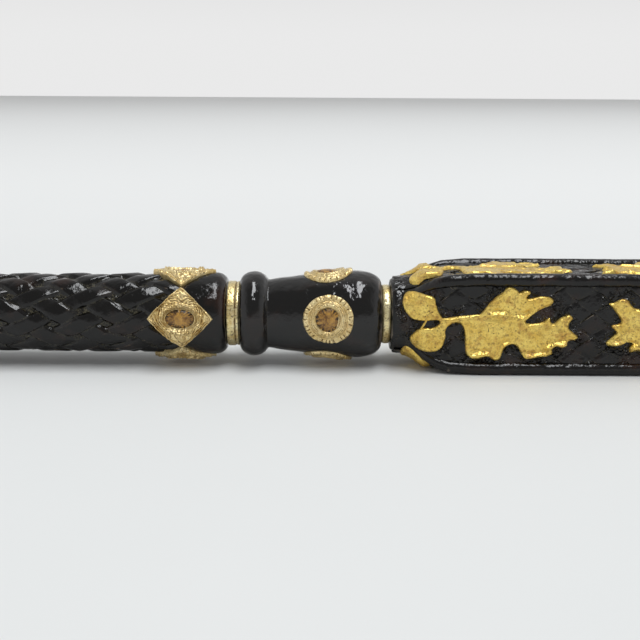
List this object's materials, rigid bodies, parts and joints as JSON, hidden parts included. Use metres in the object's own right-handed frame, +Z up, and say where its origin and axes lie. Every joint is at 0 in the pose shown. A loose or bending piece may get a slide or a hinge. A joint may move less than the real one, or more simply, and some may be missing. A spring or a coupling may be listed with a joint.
{
  "type": "walking stick",
  "caption": "Straight walking stick carved in wood: braided round shaft, turned barrel, square grip with gilt oak leaves, round pommel and rubber ferrule.",
  "frame": {"origin": "on the surface that the stick lies on, under the middle of its length and width", "axes": "+X along the stick from ferrule to pommel, +Z up from the surface that it lies on, one face of the grip facing up"},
  "size_m": [0.9, 0.0278, 0.0278],
  "materials": {
    "lacquer": "carved wood under glossy black lacquer, rubbed brown on the high edges",
    "yellow_gilt": "yellow gilding over carved relief, slightly pitted, brown in the hollows",
    "pale_gilt": "pale champagne gilding, wrinkled, with brown dirt in the hollows",
    "amber": "polished amber-brown cabochon",
    "steel": "plain turned steel",
    "brass": "worn brass",
    "rubber": "matt black moulded rubber"
  },
  "bodies": {
    "root": {"shaft": "lacquer", "lozenge_setting_1": "pale_gilt", "lozenge_stone_1": "amber", "lozenge_setting_2": "pale_gilt", "lozenge_stone_2": "amber", "lozenge_setting_3": "pale_gilt", "lozenge_stone_3": "amber", "lozenge_setting_4": "pale_gilt", "lozenge_stone_4": "amber", "lower_ring": "pale_gilt", "barrel": "lacquer", "round_setting_1": "pale_gilt", "round_stone_1": "amber", "round_setting_2": "pale_gilt", "round_stone_2": "amber", "round_setting_3": "pale_gilt", "round_stone_3": "amber", "round_setting_4": "pale_gilt", "round_stone_4": "amber", "upper_ring": "pale_gilt", "grip": "lacquer", "lower_leaf_spray_1": "yellow_gilt", "upper_leaf_spray_1": "yellow_gilt", "lower_leaf_spray_2": "yellow_gilt", "upper_leaf_spray_2": "yellow_gilt", "lower_leaf_spray_3": "yellow_gilt", "upper_leaf_spray_3": "yellow_gilt", "lower_leaf_spray_4": "yellow_gilt", "upper_leaf_spray_4": "yellow_gilt", "pommel_ring": "pale_gilt", "pommel": "lacquer", "pommel_setting": "pale_gilt", "pommel_stone": "amber", "centre_rod": "steel", "pommel_stud": "steel", "tip_collar": "brass", "collar_pin": "brass", "rubber_ferrule": "rubber", "ferrule_washer": "steel"}
  },
  "joints": []
}
